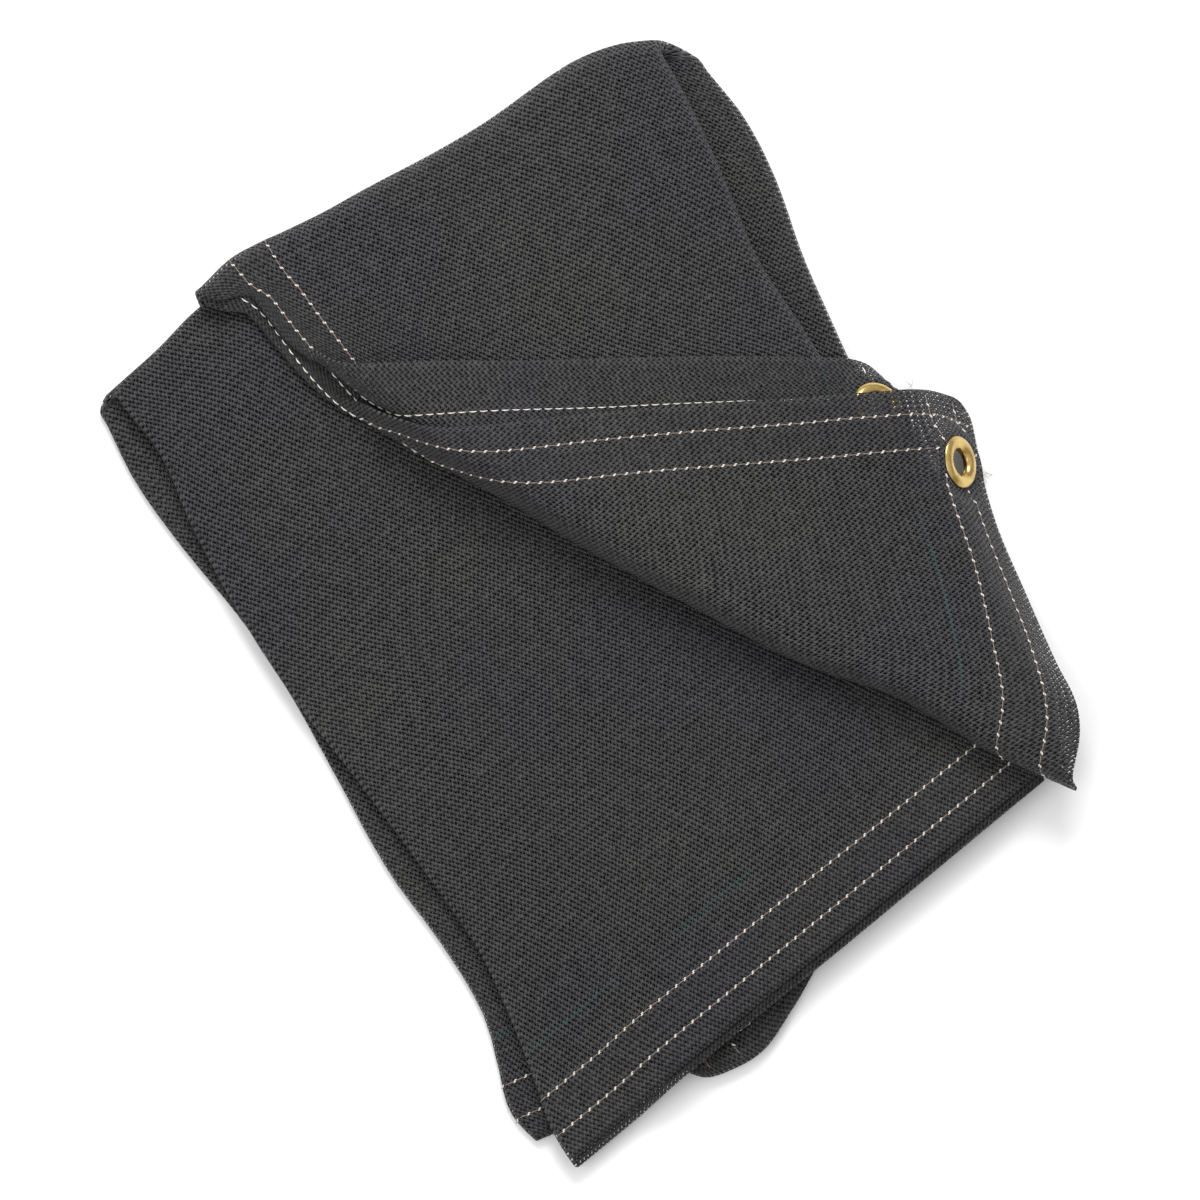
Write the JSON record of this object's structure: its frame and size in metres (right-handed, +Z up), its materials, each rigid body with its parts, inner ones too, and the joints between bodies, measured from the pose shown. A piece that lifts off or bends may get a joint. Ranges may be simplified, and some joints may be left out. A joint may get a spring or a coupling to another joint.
{
  "type": "mesh tarp",
  "caption": "Hemmed knitted mesh tarp folded into a flat packet, with a turned-back corner that shows a brass grommet.",
  "frame": {"origin": "bottom centre of the folded packet's box, on the surface that it lies on", "axes": "+X along the folded spine, +Y from the hem end to the spine, +Z up"},
  "size_m": [0.3824, 0.4872, 0.0428],
  "materials": {
    "mesh_cloth": "matte knitted polyethylene mesh",
    "brass_ring": "polished, lightly worn"
  },
  "bodies": {
    "root": {"tarp_cloth": "mesh_cloth", "grommet_front_corner": "brass_ring", "grommet_back_corner": "brass_ring", "grommet_lower_corner": "brass_ring", "grommet_bottom_corner": "brass_ring"}
  },
  "joints": []
}
